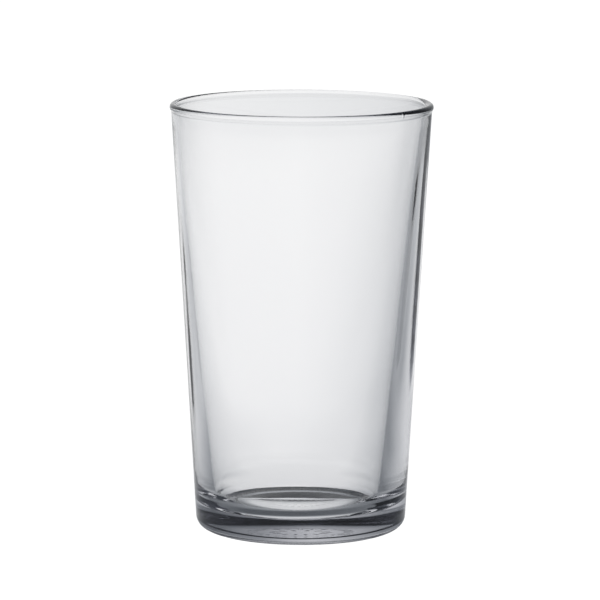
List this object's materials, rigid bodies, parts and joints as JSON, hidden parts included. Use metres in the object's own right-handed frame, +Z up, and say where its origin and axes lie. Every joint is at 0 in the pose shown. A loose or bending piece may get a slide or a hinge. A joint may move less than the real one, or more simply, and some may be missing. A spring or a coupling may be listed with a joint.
{
  "type": "pint glass",
  "caption": "Clear tapered tumbler with a thick solid base, a dished floor, a shallow recess under it, walls that thin towards the mouth and a round fire-polished lip; holds a drink.",
  "frame": {"origin": "centre of the plane that the bearing ring stands on", "axes": "+Z up along the axis of the glass, out of its mouth; X and Y are free, because it is round"},
  "size_m": [0.091, 0.091, 0.1485],
  "materials": {
    "tumbler_glass": "clear pressed and tempered soda-lime glass, fire-polished"
  },
  "bodies": {
    "root": {"tumbler": "tumbler_glass"}
  },
  "joints": []
}
